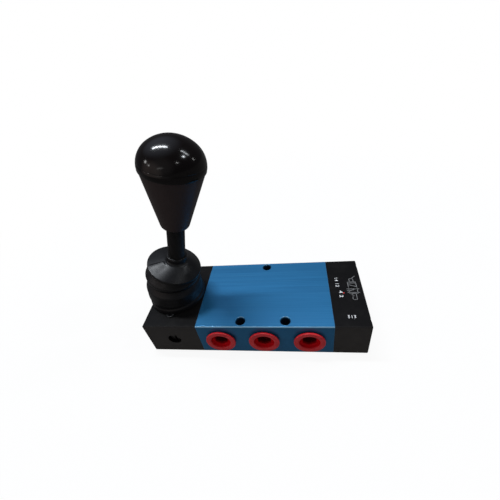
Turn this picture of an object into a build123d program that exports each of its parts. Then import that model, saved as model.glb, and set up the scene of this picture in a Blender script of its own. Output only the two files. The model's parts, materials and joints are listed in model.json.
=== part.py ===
"""Hand lever air valve: 5/2 spool valve with G1/4 ports, worked by a detented hand lever.

Millimetres. X runs along the spool, with the lever at the -X end. The three-port side faces -Y
and Z is up. The origin lies on the underside, below the middle front port. The valve is drawn at
rest with the lever leaning towards +X, so the spool is at the -X end of its stroke.
"""

from build123d import *
from math import acos, cos, degrees, radians, sin
import os

# ---------------------------------------------------------------- driving dimensions

# Body and ends
PORT_PITCH = 25.0  # between neighbouring ports on one side
BODY_LENGTH = 76.0
BODY_DEPTH = 51.0
BODY_HEIGHT = 24.0
HOUSING_LENGTH = 32.4  # lever housing
CAP_LENGTH = 18.7  # end cap
EDGE = 0.5  # chamfer on the outer edges
AXIS_Z = BODY_HEIGHT / 2  # height of the spool and port axes

# Ports and mounting holes
PORT_R = 6.2  # G1/4 thread, drawn as a plain bore
PORT_MOUTH_R = 6.8  # countersink at the mouth
COUNTERSINK_ANGLE = 90
PORT_DEPTH = 10.5
PASSAGE_R = 4.0
MOUNT_HOLE_R = 2.7  # clearance for M5
MOUNT_HOLE_CHAMFER = 0.3
FRONT_HOLE_Y = -21.4
REAR_HOLE_Y = 21.8

# Fits
RUNNING_GAP = 0.06  # spool, stem and their bores
STACK_GAP = 0.05  # cages and seals in their bore
THREAD_GAP = 0.05  # threads, drawn as plain cylinders
PIN_GAP = 0.02
END_GAP = 0.5  # between a screwed-in end and the bottom of its hole
OVERLAP = 1.0  # how far a joined form or a cut runs past the face that it meets

# Spool
SPOOL_BORE_R = 9.0
SPOOL_R = 5.5
SPOOL_TIP_CHAMFER = 0.6
NECK_R = 3.7
NECK_LENGTH = 10.0
NECK_PITCH = 25.0
NECK_TAPER = 0.9  # length of the taper at each end of a neck

# Stack of cages and seals around the spool
SEAL_WIDTH = 3.5
SEAL_ROOT_R = 6.8
SEAL_LIP_R = 5.56
SEAL_LIP_WIDTH = 1.2
CAGE_CHANNEL_R = 7.4
CAGE_LAND = 1.6  # full-width ring at each end of a cage
CAGE_WINDOW = (3.6, 3.4)  # along the spool and across
CAGE_WINDOWS = 6

# Lever
LEVER_TILT = 15.8  # degrees from the vertical, the same on both sides
PIVOT_X = -54.4
PIVOT_Z = 28.0
LEVER_R = 4.75
LEVER_TAPER = (6.0, 11.0)  # below the pivot, from the full radius down to the shank
SHANK_R = 2.0
BALL_R = 3.4
BALL_GAP = 0.1
PIVOT_PIN_R = 2.0
PIVOT_PIN_LENGTH = 26.0

# Stem, which the lever's ball end drives
STEM_R = 7.0
STEM_LEFT = -66.0
STEM_RIGHT = -47.0
STEM_CHAMFER = 0.6
STUD_R = 2.5
STUD_LENGTH = 8.0
SADDLE_LENGTH = 12.4  # flat on top of the stem, for the lever's taper
SADDLE_FLOOR = 3.9  # above the spool axis
BALL_HOLE_DEPTH = 11.5  # from the top of the stem

# Detent
DETENT_X = -53.7
DETENT_BALL_R = 2.5
DETENT_BORE_R = 2.6
DETENT_THREAD_R = 3.9
DETENT_SHOULDER = 7.8  # depth of the threaded part from the front face
DETENT_SCREW_LENGTH = 6.0
DETENT_SCREW_CHAMFER = 0.5
DETENT_SLOT_WIDTH = 1.2
DETENT_SLOT_DEPTH = 1.6
GROOVE_DEPTH = 1.0
SPRING_WIRE_R = 0.3
SPRING_R = 1.9
SPRING_TURNS = 3

# Boss under the boot
BOSS_X = -54.8
BOSS_SEAT_R = 14.0
BOSS_LIP_R = 15.0
BOSS_TOP_R = 12.3
BOSS_LIP_Z = (27.0, 28.2)
BOSS_TOP_Z = 33.0
POCKET_LENGTH = 14.4
POCKET_WIDTH = 9.7

# Boot: rings from the foot up to the flat cone, with x and z of the middle, tilt and outer radius.
# Crests and valleys take turns, and the tilt grows upwards because the lever pulls the top over.
BOOT_RINGS = [
    (-55.2, 24.0, 0.0, 17.0),
    (-55.2, 27.0, 0.0, 17.0),
    (-55.15, 28.3, 1.0, 16.5),
    (-54.7, 36.0, 7.5, 16.4),
    (-54.0, 39.6, 12.0, 14.4),
    (-53.0, 43.3, 16.0, 15.7),
    (-51.6, 46.0, 21.0, 13.6),
    (-50.5, 48.0, 24.7, 15.2),
    (-50.0, 49.3, 24.7, 15.2),
]
# The inside follows fewer rings: x and z of the middle, tilt and inner radius.
BOOT_INNER_RINGS = [
    (-55.2, 26.6, 0.0, 15.6),
    (-54.7, 35.2, 7.5, 15.1),
    (-54.0, 39.4, 12.0, 13.2),
    (-52.8, 42.6, 16.0, 13.2),
    (-51.6, 45.4, 21.0, 12.4),
    (-50.4, 48.0, 24.7, 13.2),
]
COLLAR_BASE = 26.0  # along the lever from the pivot
COLLAR_TOP = 29.5
COLLAR_R = 5.9
COLLAR_BORE_R = 4.85
BOOT_TAB = (4.6, 2.4, 0.9)  # pull tab on the foot, in front: width, reach and thickness

# Knob, measured along the lever from the pivot
KNOB_BASE = 50.0
KNOB_NECK_R = 7.4
KNOB_FOOT_ROUND = 1.9
KNOB_SEAM = 80.6
KNOB_SEAM_R = 14.95
KNOB_SEAM_LIP = 0.15
KNOB_EQUATOR = 82.0
KNOB_R = 15.4
KNOB_TOP = 95.4
KNOB_CROWN = 8.0  # solid plastic over the middle of the dome
DOME_SIDE_R = 11.9  # the side arc, which runs into a wider arc over the top
INSERT_R = 6.0
INSERT_DEPTH = (2.0, 20.0)  # where the insert starts and ends, from the knob's base
KNOB_BORE_R = 4.0
LEVER_STUD_R = 3.9
LEVER_STUD_LENGTH = 18.0
LEVER_STUD_CHAMFER = 0.6

# End screws, M4 socket head
SCREW_R = 2.0
SCREW_HEAD_R = 3.5
SCREW_HEAD_HEIGHT = 4.0
SCREW_SOCKET = 3.0  # across flats
SCREW_SOCKET_DEPTH = 2.0
SCREW_Y = 20.5
SCREW_Z = 8.0  # above and below the spool axis
SCREW_REACH = 6.1  # into the body
SCREW_SINK = 0.4  # head below the end face
SCREW_HOLE_R = 2.15
COUNTERBORE_R = 3.7

# Port plugs
PLUG_FLANGE_R = 8.6
PLUG_NECK_R = 6.7
PLUG_NECK = 0.8  # between the body's face and the flange
PLUG_PROUD = 1.9  # outer face of the flange, from the body's face
PLUG_EDGE = 0.3
PLUG_LIP_R = 5.9  # inner edge of the flange's flat ring
PLUG_FUNNEL_R = 5.0
PLUG_FUNNEL_DEPTH = 1.4
PLUG_LENGTH = 8.5
PLUG_HEX = 8.0  # across flats
PLUG_HEX_DEPTH = 6.5

# ---------------------------------------------------------------- worked out from them

FRONT_PORTS = [-PORT_PITCH, 0.0, PORT_PITCH]
REAR_PORTS = [-PORT_PITCH / 2, PORT_PITCH / 2]
HALF = BODY_LENGTH / 2
FRONT_Y = -BODY_DEPTH / 2
HOUSING_LEFT = -HALF - HOUSING_LENGTH
CAP_RIGHT = HALF + CAP_LENGTH
TILT = radians(LEVER_TILT)
ARM = PIVOT_Z - AXIS_Z  # pivot to the centre of the ball end
STROKE = 2 * ARM * sin(TILT)
SPOOL_CENTRE = -STROKE / 2
STACK_R = SPOOL_BORE_R - STACK_GAP
BEARING_R = SPOOL_R + RUNNING_GAP

LEVER_UP = (sin(TILT), 0, cos(TILT))
LEVER_SIDE = (cos(TILT), 0, -sin(TILT))
PIVOT = (PIVOT_X, 0, PIVOT_Z)
# Local x is the radius and local y the distance from the pivot along the lever.
LEVER_PROFILE = Plane(origin=PIVOT, x_dir=LEVER_SIDE, z_dir=(0, -1, 0))
LEVER_AXIS = Axis(PIVOT, LEVER_UP)
SPOOL_AXIS = Axis((0, 0, AXIS_Z), (1, 0, 0))


def save(piece, name):
    piece.part.label = name
    export_step(piece.part, f"parts/{name}.step")


def end_face(x, outward):
    """Plane of an end face, centred on the spool axis; outward is -1 or +1 along X."""
    return Plane(origin=(x, 0, AXIS_Z), x_dir=(0, 1, 0), z_dir=(outward, 0, 0))


def side_face(x, side):
    """Plane of the front (side -1) or rear (side +1) face, centred on a port axis."""
    return Plane(origin=(x, -side * FRONT_Y, AXIS_Z), x_dir=(1, 0, 0), z_dir=(0, side, 0))


def ring_plane(x, z, tilt):
    """Plane across the boot or the lever, tilted towards +X by so many degrees."""
    angle = radians(tilt)
    return Plane(origin=(x, 0, z), x_dir=(cos(angle), 0, -sin(angle)), z_dir=(sin(angle), 0, cos(angle)))


def lever_ring(distance):
    """Plane across the lever, at a distance from the pivot."""
    x, _, z = (p + distance * u for p, u in zip(PIVOT, LEVER_UP))
    return ring_plane(x, z, LEVER_TILT)


def block(left, right):
    """A length of the body's rectangular section, between two x positions."""
    with BuildSketch(Plane.YZ.offset(left)) as section:
        with Locations((0, AXIS_Z)):
            Rectangle(BODY_DEPTH, BODY_HEIGHT)
    extrude(section.sketch, amount=right - left)


def counterbored_screw_holes(face_x, outward, length):
    with Locations(end_face(face_x, outward)):
        with GridLocations(2 * SCREW_Y, 2 * SCREW_Z, 2, 2):
            CounterBoreHole(SCREW_HOLE_R, COUNTERBORE_R, SCREW_HEAD_HEIGHT + SCREW_SINK, length)


os.makedirs("parts", exist_ok=True)

# ---------------------------------------------------------------- valve body

with BuildPart() as valve_body:
    block(-HALF, HALF)
    chamfer(valve_body.edges().filter_by(Axis.X), EDGE)
    with Locations(end_face(HALF, 1)):
        Hole(SPOOL_BORE_R, BODY_LENGTH)
    # ports, and the passages from them to the spool bore
    ports = [side_face(x, -1) for x in FRONT_PORTS] + [side_face(x, 1) for x in REAR_PORTS]
    with Locations(*ports):
        CounterSinkHole(PORT_R, PORT_MOUTH_R, PORT_DEPTH, COUNTERSINK_ANGLE)
        Hole(PASSAGE_R, BODY_DEPTH / 2 - SPOOL_BORE_R + OVERLAP)
    # mounting holes
    with Locations(Plane.XY.offset(BODY_HEIGHT)):
        with Locations((-PORT_PITCH / 2, FRONT_HOLE_Y), (PORT_PITCH / 2, FRONT_HOLE_Y), (0, REAR_HOLE_Y)):
            Hole(MOUNT_HOLE_R, BODY_HEIGHT)
    hole_rims = valve_body.edges().filter_by(GeomType.CIRCLE).group_by(Axis.Z)
    chamfer(hole_rims[0] + hole_rims[-1], MOUNT_HOLE_CHAMFER)
    # tapped holes for the end screws
    with Locations(end_face(-HALF, -1), end_face(HALF, 1)):
        with GridLocations(2 * SCREW_Y, 2 * SCREW_Z, 2, 2):
            Hole(SCREW_R + THREAD_GAP, SCREW_REACH + SCREW_SINK)
save(valve_body, "valve_body")

# ---------------------------------------------------------------- lever housing

with BuildPart() as lever_housing:
    block(HOUSING_LEFT, -HALF)
    left_end = lever_housing.faces().sort_by(Axis.X)[0]
    chamfer(lever_housing.edges().filter_by(Axis.X) + left_end.edges(), EDGE)
    # boss with a seat and a lip for the boot's foot
    with BuildSketch(Plane.XZ):
        with BuildLine():
            Polyline(
                (BOSS_X, BODY_HEIGHT - OVERLAP),
                (BOSS_X + BOSS_SEAT_R, BODY_HEIGHT - OVERLAP),
                (BOSS_X + BOSS_SEAT_R, BOSS_LIP_Z[0]),
                (BOSS_X + BOSS_LIP_R, BOSS_LIP_Z[0]),
                (BOSS_X + BOSS_LIP_R, BOSS_LIP_Z[1]),
                (BOSS_X + BOSS_TOP_R, BOSS_TOP_Z),
                (BOSS_X, BOSS_TOP_Z),
                close=True,
            )
        make_face()
    revolve(axis=Axis((BOSS_X, 0, 0), (0, 0, 1)))
    # stem bore, blind at the left
    with Locations(end_face(-HALF, 1)):
        Hole(STEM_R + RUNNING_GAP, SCREW_SINK - HALF - STEM_LEFT)
    # pocket in which the lever swings
    with BuildSketch(Plane.XY.offset(BOSS_TOP_Z)):
        with Locations((PIVOT_X, 0)):
            Rectangle(POCKET_LENGTH, POCKET_WIDTH)
    extrude(amount=AXIS_Z - BOSS_TOP_Z, mode=Mode.SUBTRACT)
    # pivot hole, open at the front and blind behind
    with Locations(Plane(origin=(PIVOT_X, -BOSS_LIP_R, PIVOT_Z), z_dir=(0, -1, 0))):
        Hole(PIVOT_PIN_R + PIN_GAP, BOSS_LIP_R + PIVOT_PIN_LENGTH / 2)
    # detent hole, stepped behind the screw
    with Locations(side_face(DETENT_X, -1)):
        Hole(DETENT_THREAD_R, DETENT_SHOULDER)
        Hole(DETENT_BORE_R, BODY_DEPTH / 2 - STEM_R + OVERLAP)
    counterbored_screw_holes(HOUSING_LEFT, -1, HOUSING_LENGTH)
save(lever_housing, "lever_housing")

# ---------------------------------------------------------------- end cap

with BuildPart() as end_cap:
    block(HALF, CAP_RIGHT)
    right_end = end_cap.faces().sort_by(Axis.X)[-1]
    chamfer(end_cap.edges().filter_by(Axis.X) + right_end.edges(), EDGE)
    # room for the spool's end
    with Locations(end_face(HALF, -1)):
        Hole(SPOOL_R + SPOOL_TIP_CHAMFER, STROKE / 2 + NECK_R)
    counterbored_screw_holes(CAP_RIGHT, 1, CAP_LENGTH)
save(end_cap, "end_cap")

# ---------------------------------------------------------------- spool and stem

SPOOL_RIGHT = SPOOL_CENTRE + HALF

with BuildPart() as spool:
    with BuildSketch(Plane.XZ):
        with BuildLine():
            outline = [(STEM_RIGHT, AXIS_Z), (STEM_RIGHT, AXIS_Z + SPOOL_R)]
            for middle in (SPOOL_CENTRE - NECK_PITCH / 2, SPOOL_CENTRE + NECK_PITCH / 2):
                outline += [
                    (middle - NECK_LENGTH / 2, AXIS_Z + SPOOL_R),
                    (middle - NECK_LENGTH / 2 + NECK_TAPER, AXIS_Z + NECK_R),
                    (middle + NECK_LENGTH / 2 - NECK_TAPER, AXIS_Z + NECK_R),
                    (middle + NECK_LENGTH / 2, AXIS_Z + SPOOL_R),
                ]
            outline += [
                (SPOOL_RIGHT - SPOOL_TIP_CHAMFER, AXIS_Z + SPOOL_R),
                (SPOOL_RIGHT, AXIS_Z + SPOOL_R - SPOOL_TIP_CHAMFER),
                (SPOOL_RIGHT, AXIS_Z),
            ]
            Polyline(*outline, close=True)
        make_face()
    revolve(axis=SPOOL_AXIS)
    # tapped hole for the stem's stud
    with Locations(end_face(STEM_RIGHT, -1)):
        Hole(STUD_R + THREAD_GAP, STUD_LENGTH + END_GAP)
save(spool, "spool")

BALL_X = PIVOT_X - ARM * sin(TILT)

with BuildPart() as spool_stem:
    with BuildSketch(Plane.XZ):
        with BuildLine():
            outline = [
                (STEM_LEFT, AXIS_Z),
                (STEM_LEFT, AXIS_Z + STEM_R - STEM_CHAMFER),
                (STEM_LEFT + STEM_CHAMFER, AXIS_Z + STEM_R),
            ]
            for groove in (DETENT_X - STROKE, DETENT_X):
                outline += [
                    (groove - GROOVE_DEPTH, AXIS_Z + STEM_R),
                    (groove, AXIS_Z + STEM_R - GROOVE_DEPTH),
                    (groove + GROOVE_DEPTH, AXIS_Z + STEM_R),
                ]
            outline += [
                (STEM_RIGHT, AXIS_Z + STEM_R),
                (STEM_RIGHT, AXIS_Z + STUD_R),
                (STEM_RIGHT + STUD_LENGTH, AXIS_Z + STUD_R),
                (STEM_RIGHT + STUD_LENGTH, AXIS_Z),
            ]
            Polyline(*outline, close=True)
        make_face()
    revolve(axis=SPOOL_AXIS)
    # saddle and blind hole for the lever's ball end
    with BuildSketch(Plane.XZ):
        with Locations((BALL_X, AXIS_Z + SADDLE_FLOOR)):
            Rectangle(SADDLE_LENGTH, STEM_R, align=(Align.CENTER, Align.MIN))
    extrude(amount=STEM_R, both=True, mode=Mode.SUBTRACT)
    with Locations(Plane(origin=(BALL_X, 0, AXIS_Z + STEM_R), z_dir=(0, 0, 1))):
        Hole(BALL_R + BALL_GAP, BALL_HOLE_DEPTH)
save(spool_stem, "spool_stem")

# ---------------------------------------------------------------- cages, seals and end bushes

CAGE_LENGTH = PORT_PITCH / 2 - SEAL_WIDTH
PORT_LINE = sorted(FRONT_PORTS + REAR_PORTS)
SEAL_LINE = [(n - 2.5) * PORT_PITCH / 2 for n in range(6)]
BUSH_LENGTH = HALF - SEAL_LINE[-1] - SEAL_WIDTH / 2


def turned_ring(middle, points):
    """A turned ring around the spool axis, from (offset from the middle, radius) pairs."""
    with BuildSketch(Plane.XZ) as profile:
        with BuildLine():
            Polyline(*[(middle + x, AXIS_Z + r) for x, r in points], close=True)
        make_face()
    revolve(profile.sketch, axis=SPOOL_AXIS)


for number, middle in enumerate(PORT_LINE, start=1):
    half = CAGE_LENGTH / 2
    with BuildPart() as spool_cage:
        turned_ring(
            middle,
            [
                (-half, BEARING_R),
                (-half, STACK_R),
                (-half + CAGE_LAND, STACK_R),
                (-half + CAGE_LAND, CAGE_CHANNEL_R),
                (half - CAGE_LAND, CAGE_CHANNEL_R),
                (half - CAGE_LAND, STACK_R),
                (half, STACK_R),
                (half, BEARING_R),
            ],
        )
        # windows in the thin wall, each cut right through with the one opposite it
        turns = [(n + 0.5) * 360 / CAGE_WINDOWS for n in range(CAGE_WINDOWS // 2)]
        with Locations(*[Location((middle, 0, AXIS_Z), (turn, 0, 0)) for turn in turns]):
            Box(*CAGE_WINDOW, 2 * SPOOL_BORE_R, mode=Mode.SUBTRACT)
    save(spool_cage, f"spool_cage_{number}")

for number, middle in enumerate(SEAL_LINE, start=1):
    half, lip = SEAL_WIDTH / 2, SEAL_LIP_WIDTH / 2
    with BuildPart() as spool_seal:
        turned_ring(
            middle,
            [
                (-half, SEAL_ROOT_R),
                (-half, STACK_R),
                (half, STACK_R),
                (half, SEAL_ROOT_R),
                (lip, SEAL_LIP_R),
                (-lip, SEAL_LIP_R),
            ],
        )
    save(spool_seal, f"spool_seal_{number}")

for name, side in (("left_end_bush", -1), ("right_end_bush", 1)):
    half = BUSH_LENGTH / 2
    with BuildPart() as end_bush:
        turned_ring(
            side * (HALF - half),
            [(-half, BEARING_R), (-half, STACK_R), (half, STACK_R), (half, BEARING_R)],
        )
    save(end_bush, name)

# ---------------------------------------------------------------- lever and pivot pin

with BuildPart() as lever:
    ball_rise = (BALL_R**2 - SHANK_R**2) ** 0.5  # from the ball's centre to where the shank leaves it
    stud_top = KNOB_BASE + LEVER_STUD_LENGTH
    with BuildSketch(LEVER_PROFILE):
        with BuildLine():
            CenterArc((0, -ARM), BALL_R, -90, 90 + degrees(acos(SHANK_R / BALL_R)))
            Polyline(
                (SHANK_R, ball_rise - ARM),
                (SHANK_R, -LEVER_TAPER[1]),
                (LEVER_R, -LEVER_TAPER[0]),
                (LEVER_R, KNOB_BASE),
                (LEVER_STUD_R, KNOB_BASE),
                (LEVER_STUD_R, stud_top - LEVER_STUD_CHAMFER),
                (LEVER_STUD_R - LEVER_STUD_CHAMFER, stud_top),
                (0, stud_top),
                (0, -ARM - BALL_R),
            )
        make_face()
    revolve(axis=LEVER_AXIS)
    with BuildSketch(Plane.XZ):
        with Locations((PIVOT_X, PIVOT_Z)):
            Circle(PIVOT_PIN_R + THREAD_GAP)
    extrude(amount=LEVER_R, both=True, mode=Mode.SUBTRACT)
save(lever, "lever")

with BuildPart() as pivot_pin:
    with BuildSketch(Plane.XZ.offset(PIVOT_PIN_LENGTH / 2)):
        with Locations((PIVOT_X, PIVOT_Z)):
            Circle(PIVOT_PIN_R)
    extrude(amount=-PIVOT_PIN_LENGTH)
    chamfer(pivot_pin.edges().filter_by(GeomType.CIRCLE), MOUNT_HOLE_CHAMFER)
save(pivot_pin, "pivot_pin")

# ---------------------------------------------------------------- knob

INSERT_START, INSERT_END = (KNOB_BASE + depth for depth in INSERT_DEPTH)

# The dome's two arcs meet where their normals agree.
dome_height = KNOB_TOP - KNOB_EQUATOR
side_offset = KNOB_R - DOME_SIDE_R
dome_top_r = (dome_height**2 + side_offset**2 - DOME_SIDE_R**2) / (2 * (dome_height - DOME_SIDE_R))
dome_spread = Vector(side_offset, dome_top_r - dome_height).normalized()
dome_join = Vector(side_offset, KNOB_EQUATOR) + dome_spread * DOME_SIDE_R

with BuildPart() as knob:
    foot_in = (KNOB_NECK_R - KNOB_FOOT_ROUND, KNOB_BASE)
    foot_out = (KNOB_NECK_R, KNOB_BASE + KNOB_FOOT_ROUND)
    seam_edge = (KNOB_SEAM_R + KNOB_SEAM_LIP, KNOB_SEAM)
    with BuildSketch(LEVER_PROFILE):
        with BuildLine():
            Polyline(
                (0, KNOB_TOP - KNOB_CROWN),
                (0, INSERT_END),
                (INSERT_R, INSERT_END),
                (INSERT_R, INSERT_START),
                (KNOB_BORE_R, INSERT_START),
                (KNOB_BORE_R, KNOB_BASE),
                foot_in,
            )
            TangentArc(foot_in, foot_out, tangent=(1, 0))
            Polyline(foot_out, (KNOB_SEAM_R, KNOB_SEAM), seam_edge)
            TangentArc((KNOB_R, KNOB_EQUATOR), seam_edge, tangent=(0, -1))
            side = TangentArc((KNOB_R, KNOB_EQUATOR), dome_join, tangent=(0, 1))
            TangentArc(dome_join, (0, KNOB_TOP), tangent=side % 1)
            Line((0, KNOB_TOP), (0, KNOB_TOP - KNOB_CROWN))
        make_face()
    revolve(axis=LEVER_AXIS)
save(knob, "knob")

with BuildPart() as knob_insert:
    bore_end = KNOB_BASE + LEVER_STUD_LENGTH + END_GAP
    with BuildSketch(LEVER_PROFILE):
        with BuildLine():
            Polyline(
                (0, INSERT_END),
                (INSERT_R - PIN_GAP, INSERT_END),
                (INSERT_R - PIN_GAP, INSERT_START),
                (LEVER_STUD_R + THREAD_GAP, INSERT_START),
                (LEVER_STUD_R + THREAD_GAP, bore_end),
                (0, bore_end),
                close=True,
            )
        make_face()
    revolve(axis=LEVER_AXIS)
save(knob_insert, "knob_insert")

# ---------------------------------------------------------------- boot


def loft_rings(rings, collar, mode=Mode.ADD):
    """A ruled loft through rings of the boot, then along the lever through (distance, radius) pairs."""
    sections = []
    for plane, radius in [(ring_plane(x, z, tilt), r) for x, z, tilt, r in rings] + collar:
        with BuildSketch(plane) as ring:
            Circle(radius)
        sections.append(ring.sketch)
    loft(sections, ruled=True, mode=mode)


with BuildPart() as boot:
    loft_rings(BOOT_RINGS, [(lever_ring(at), COLLAR_R) for at in (COLLAR_BASE, COLLAR_TOP)])
    with BuildSketch(Plane.XY.offset(BODY_HEIGHT)):
        width, reach, _ = BOOT_TAB
        foot_x, foot_r = BOOT_RINGS[0][0], BOOT_RINGS[0][3]
        with Locations((foot_x, -foot_r - reach)):
            RectangleRounded(width, 2 * reach, reach / 2, align=(Align.CENTER, Align.MIN))
    extrude(amount=BOOT_TAB[2])
    # inside: the seat on the boss, then the cavity, then the collar's grip on the lever
    with Locations(Plane.XY.offset(BOSS_LIP_Z[0])):
        with Locations((BOSS_X, 0)):
            Hole(BOSS_SEAT_R + THREAD_GAP, BOSS_LIP_Z[0] - BODY_HEIGHT)
    bore = [(lever_ring(at), COLLAR_BORE_R) for at in (COLLAR_BASE - OVERLAP, COLLAR_TOP + OVERLAP)]
    loft_rings(BOOT_INNER_RINGS, bore, Mode.SUBTRACT)
save(boot, "boot")

# ---------------------------------------------------------------- detent

DETENT_BALL_Y = -(STEM_R + THREAD_GAP + DETENT_BALL_R)
SCREW_TIP_Y = FRONT_Y + DETENT_SHOULDER

with BuildPart() as detent_ball:
    with Locations((DETENT_X, DETENT_BALL_Y, AXIS_Z)):
        Sphere(DETENT_BALL_R)
save(detent_ball, "detent_ball")

with BuildPart() as detent_spring:
    start_y = SCREW_TIP_Y + SPRING_WIRE_R + PIN_GAP
    length = DETENT_BALL_Y - DETENT_BALL_R - SPRING_WIRE_R - PIN_GAP - start_y
    coil = Helix(
        pitch=length / SPRING_TURNS,
        height=length,
        radius=SPRING_R,
        center=(DETENT_X, start_y, AXIS_Z),
        direction=(0, 1, 0),
        mode=Mode.PRIVATE,
    )
    with BuildLine():
        add(coil)
    with BuildSketch(Plane(origin=coil @ 0, z_dir=coil % 0)):
        RegularPolygon(SPRING_WIRE_R, 8)  # close to round, in few facets
    sweep()
save(detent_spring, "detent_spring")

with BuildPart() as detent_screw:
    with BuildSketch(Plane.XZ.offset(-SCREW_TIP_Y)):
        with Locations((DETENT_X, AXIS_Z)):
            Circle(DETENT_THREAD_R - THREAD_GAP)
    extrude(amount=DETENT_SCREW_LENGTH)
    outer_face = detent_screw.faces().sort_by(Axis.Y)[0]
    chamfer(outer_face.edges(), DETENT_SCREW_CHAMFER)
    with BuildSketch(Plane.XZ.offset(-SCREW_TIP_Y + DETENT_SCREW_LENGTH)):
        with Locations((DETENT_X, AXIS_Z)):
            Rectangle(DETENT_SLOT_WIDTH, 2 * DETENT_THREAD_R)
    extrude(amount=-DETENT_SLOT_DEPTH, mode=Mode.SUBTRACT)
save(detent_screw, "detent_screw")

# ---------------------------------------------------------------- end screws


def socket_screws(face_x, outward, shank_end):
    """Four socket head screws, sunk below an end face; outward is -1 or +1 along X."""
    head_top = face_x - outward * SCREW_SINK
    seat = head_top - outward * SCREW_HEAD_HEIGHT
    for start, radius, depth in (
        (head_top, SCREW_HEAD_R, SCREW_HEAD_HEIGHT),
        (seat, SCREW_R, abs(shank_end - seat)),
    ):
        with BuildSketch(end_face(start, outward)) as rounds:
            with GridLocations(2 * SCREW_Y, 2 * SCREW_Z, 2, 2):
                Circle(radius)
        extrude(rounds.sketch, amount=-depth)
    with BuildSketch(end_face(head_top, outward)) as sockets:
        with GridLocations(2 * SCREW_Y, 2 * SCREW_Z, 2, 2):
            RegularPolygon(SCREW_SOCKET / 2, 6, major_radius=False)
    extrude(sockets.sketch, amount=-SCREW_SOCKET_DEPTH, mode=Mode.SUBTRACT)


with BuildPart() as housing_screws:
    socket_screws(HOUSING_LEFT, -1, -HALF + SCREW_REACH)
save(housing_screws, "housing_screws")

with BuildPart() as cap_screws:
    socket_screws(CAP_RIGHT, 1, HALF - SCREW_REACH)
save(cap_screws, "cap_screws")

# ---------------------------------------------------------------- port plugs


def plug(x, side):
    """Threaded plug: shank, neck, lipped flange, funnel and hexagon socket; side is -1 in front."""
    face = side_face(x, side)
    # Local x is the radius and local y the distance out of the body's face.
    profile_plane = Plane(origin=face.origin, x_dir=(1, 0, 0), z_dir=(0, 0, side))
    with BuildSketch(profile_plane) as profile:
        with BuildLine():
            Polyline(
                (0, -PLUG_LENGTH),
                (PORT_R - THREAD_GAP - PLUG_EDGE, -PLUG_LENGTH),
                (PORT_R - THREAD_GAP, PLUG_EDGE - PLUG_LENGTH),
                (PORT_R - THREAD_GAP, 0),
                (PLUG_NECK_R, 0),
                (PLUG_NECK_R, PLUG_NECK),
                (PLUG_FLANGE_R, PLUG_NECK),
                (PLUG_FLANGE_R, PLUG_PROUD - PLUG_EDGE),
                (PLUG_FLANGE_R - PLUG_EDGE, PLUG_PROUD),
                (PLUG_LIP_R, PLUG_PROUD),
                (PLUG_FUNNEL_R, PLUG_PROUD - PLUG_FUNNEL_DEPTH),
                (0, PLUG_PROUD - PLUG_FUNNEL_DEPTH),
                close=True,
            )
        make_face()
    revolve(profile.sketch, axis=Axis(face.origin, (0, side, 0)))
    with BuildSketch(face.offset(PLUG_PROUD)) as socket:
        RegularPolygon(PLUG_HEX / 2, 6, major_radius=False)
    extrude(socket.sketch, amount=-PLUG_HEX_DEPTH, mode=Mode.SUBTRACT)


for names, places, side in (
    (("front_plug_left", "front_plug_middle", "front_plug_right"), FRONT_PORTS, -1),
    (("rear_plug_left", "rear_plug_right"), REAR_PORTS, 1),
):
    for name, x in zip(names, places):
        with BuildPart() as port_plug:
            plug(x, side)
        save(port_plug, name)
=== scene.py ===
"""The looks of the hand lever air valve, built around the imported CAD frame. Metres, +Z up."""

import json
from math import cos, degrees, hypot, pi, radians, sin, sqrt

import bmesh
import bpy
from mathutils import Matrix, Vector


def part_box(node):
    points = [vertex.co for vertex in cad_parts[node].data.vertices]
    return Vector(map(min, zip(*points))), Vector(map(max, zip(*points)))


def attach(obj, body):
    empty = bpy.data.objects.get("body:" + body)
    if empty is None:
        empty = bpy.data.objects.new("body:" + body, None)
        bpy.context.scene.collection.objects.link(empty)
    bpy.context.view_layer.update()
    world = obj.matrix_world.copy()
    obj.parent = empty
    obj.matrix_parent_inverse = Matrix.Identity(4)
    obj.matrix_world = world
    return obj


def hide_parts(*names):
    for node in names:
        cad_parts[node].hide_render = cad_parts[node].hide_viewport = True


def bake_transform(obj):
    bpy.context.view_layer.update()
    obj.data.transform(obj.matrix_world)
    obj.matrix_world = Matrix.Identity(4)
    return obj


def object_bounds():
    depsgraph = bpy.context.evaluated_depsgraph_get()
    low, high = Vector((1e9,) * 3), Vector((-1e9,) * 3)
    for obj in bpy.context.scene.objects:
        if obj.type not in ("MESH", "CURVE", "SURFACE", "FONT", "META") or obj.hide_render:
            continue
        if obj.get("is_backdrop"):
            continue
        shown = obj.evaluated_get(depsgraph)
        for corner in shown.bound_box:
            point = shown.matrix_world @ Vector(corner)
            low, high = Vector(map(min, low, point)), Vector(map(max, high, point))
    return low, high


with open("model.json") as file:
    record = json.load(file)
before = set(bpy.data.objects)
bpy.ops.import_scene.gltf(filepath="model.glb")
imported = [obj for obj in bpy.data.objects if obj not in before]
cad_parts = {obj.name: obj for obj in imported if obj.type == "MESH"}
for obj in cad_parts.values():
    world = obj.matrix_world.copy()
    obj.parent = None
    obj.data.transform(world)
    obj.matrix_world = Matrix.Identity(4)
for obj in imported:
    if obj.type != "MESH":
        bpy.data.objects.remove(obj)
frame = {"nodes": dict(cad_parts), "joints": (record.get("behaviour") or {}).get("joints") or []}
cad_low, cad_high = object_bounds()

MM = 0.001

# ---------------------------------------------------------------- places taken from the frame

lever_joint = next(joint for joint in frame["joints"] if joint["type"] == "hinge")
PIVOT = Vector(lever_joint["pos_m"])
TILT = radians(lever_joint["range_deg"][1]) / 2  # the lever leans this far at rest

body_low, body_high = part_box("valve_body")
BODY_TOP = body_high.z
AXIS_Z = BODY_TOP / 2

LEVER_UP = Vector((sin(TILT), 0, cos(TILT)))
LEVER_SIDE = Vector((cos(TILT), 0, -sin(TILT)))
ACROSS = Vector((0, 1, 0))


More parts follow.
